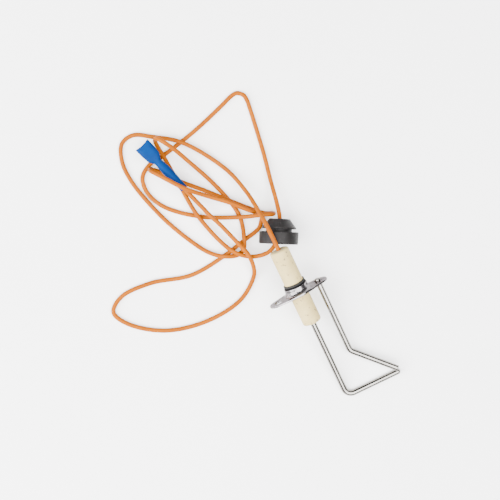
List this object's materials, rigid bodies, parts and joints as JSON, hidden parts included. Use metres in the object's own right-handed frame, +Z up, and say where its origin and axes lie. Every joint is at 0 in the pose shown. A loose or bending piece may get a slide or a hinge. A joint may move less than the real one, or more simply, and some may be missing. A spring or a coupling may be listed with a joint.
{
  "type": "flame sensor probe",
  "caption": "Boiler flame sensor probe: ceramic insulator in an oval flange with bent sensing and earth rods, free lead, panel grommet and booted push-on terminal.",
  "frame": {"origin": "middle of the probe's footprint, on the surface that it lies on", "axes": "+Z up from the surface; +Y along the probe's plan towards its lead; +X towards the side the rods' legs point"},
  "size_m": [0.1248, 0.1755, 0.0255],
  "materials": {
    "ceramic": "matte",
    "rod_steel": "polished",
    "flange_steel": "polished",
    "seal_rubber": "matte",
    "ring_plastic": "matte",
    "crimp_steel": "satin",
    "cement": "matte",
    "copper": "satin",
    "lead_insulation": "satin",
    "grommet_rubber": "satin",
    "terminal_brass": "satin",
    "boot_plastic": "satin"
  },
  "bodies": {
    "probe": {"ceramic_insulator": "ceramic", "sensing_rod": "rod_steel", "earth_rod": "rod_steel", "flange": "flange_steel", "seal_ring": "seal_rubber", "retaining_ring": "ring_plastic", "crimp_ferrule": "crimp_steel", "rod_cement": "cement", "lead_cement": "cement", "conductor_ends": "copper", "lead_jacket": "lead_insulation", "terminal": "terminal_brass"},
    "grommet": {"grommet": "grommet_rubber"},
    "boot": {"terminal_boot": "boot_plastic"}
  },
  "joints": [
    {"name": "boot_slide", "type": "slide", "parent": "probe", "child": "boot", "axis": [0.3173, -0.9482, 0.0175], "range_m": [0, 0.01]},
    {"name": "grommet_turn", "type": "hinge", "parent": "probe", "child": "grommet", "pos_m": [-0.00589, 0.04559, 0.01025], "axis": [0.4695, 0.8829, 0], "continuous": true}
  ]
}
